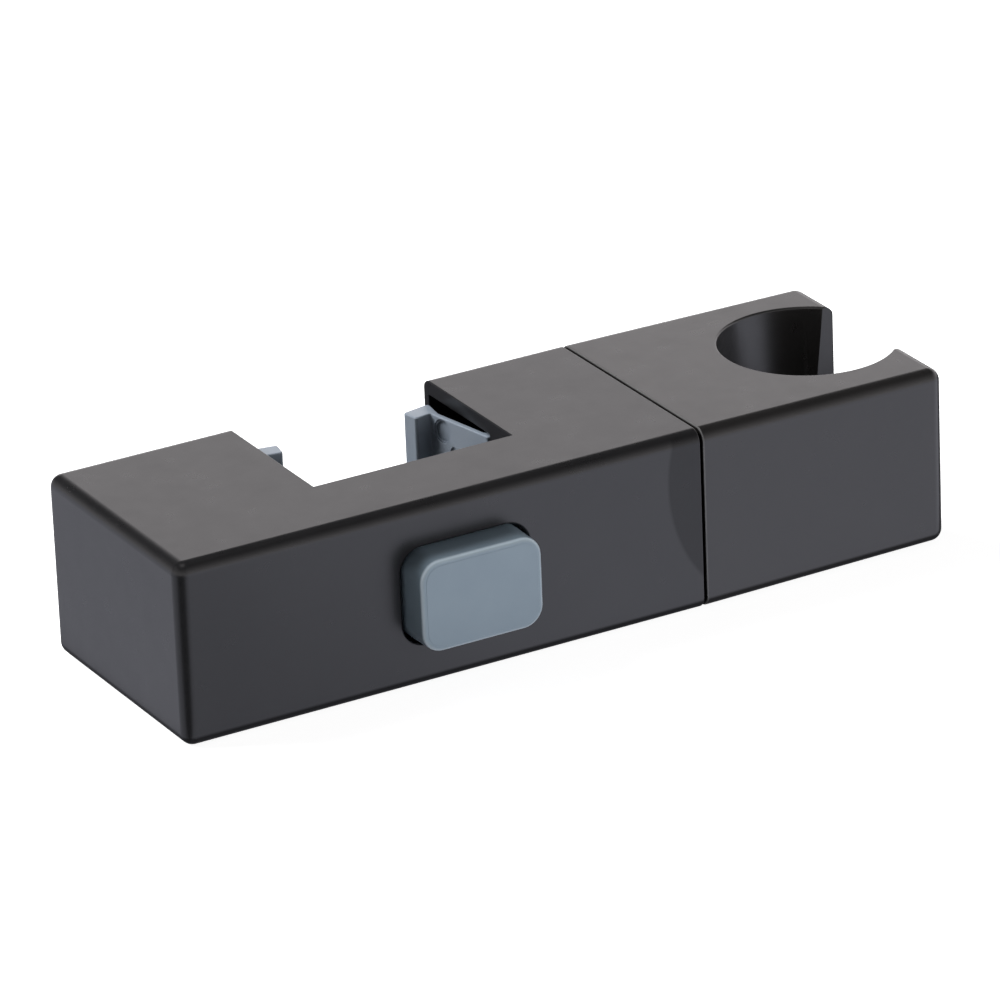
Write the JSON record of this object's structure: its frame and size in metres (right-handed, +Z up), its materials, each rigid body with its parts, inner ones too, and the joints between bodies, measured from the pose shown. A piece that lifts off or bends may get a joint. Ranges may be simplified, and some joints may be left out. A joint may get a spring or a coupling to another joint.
{
  "type": "shower rail slider",
  "caption": "Square shower rail slider: a notched clamp with spring-closed jaws and a push button grips an upright rail, and a swivelling head cradles the hand shower.",
  "frame": {"origin": "bottom centre of the bounding box, on the surface that the slider stands on", "axes": "+X from the clamp to the cradle, -Y out of the push button, +Y out of the rail notch, +Z up along the rail"},
  "size_m": [0.1172, 0.042, 0.026],
  "materials": {
    "black_plastic": "satin moulded",
    "grey_plastic": "matte moulded",
    "steel": "plain",
    "bearing_plastic": "smooth moulded"
  },
  "bodies": {
    "clamp": {"housing": "black_plastic", "bottom_cover": "black_plastic", "cover_screw_1": "steel", "cover_screw_2": "steel", "cover_screw_3": "steel", "cover_screw_4": "steel", "left_pivot_pin": "steel", "right_pivot_pin": "steel", "left_jaw_spring": "steel", "right_jaw_spring": "steel", "swivel_bush": "bearing_plastic"},
    "button": {"release_button": "grey_plastic"},
    "jaw_left": {"left_jaw": "grey_plastic"},
    "jaw_right": {"right_jaw": "grey_plastic"},
    "head": {"swivel_head": "black_plastic", "friction_washer": "bearing_plastic", "swivel_spring": "steel", "swivel_washer": "steel", "swivel_screw": "steel"}
  },
  "joints": [
    {"name": "button_press", "type": "slide", "parent": "clamp", "child": "button", "axis": [0, 1, 0], "range_m": [0, 0.003], "stiffness_N_per_m": 2000, "springref_m": -0.002},
    {"name": "left_jaw_pivot", "type": "hinge", "parent": "clamp", "child": "jaw_left", "pos_m": [-0.0358, -0.0101, 0.013], "axis": [0, 0, 1], "range_deg": [0, 11.2], "deforming": ["left_jaw_spring"]},
    {"name": "right_jaw_pivot", "type": "hinge", "parent": "clamp", "child": "jaw_right", "pos_m": [0.00325, -0.0101, 0.013], "axis": [0, 0, -1], "range_deg": [0, 11.2], "deforming": ["right_jaw_spring"]},
    {"name": "head_swivel", "type": "hinge", "parent": "clamp", "child": "head", "pos_m": [0.0204, 0.0022, 0.013], "axis": [1, 0, 0], "continuous": true}
  ],
  "couplings": [
    {"joint": "left_jaw_pivot", "follows": "button_press", "rad_per_m": 64.412},
    {"joint": "right_jaw_pivot", "follows": "button_press", "rad_per_m": 64.412}
  ]
}
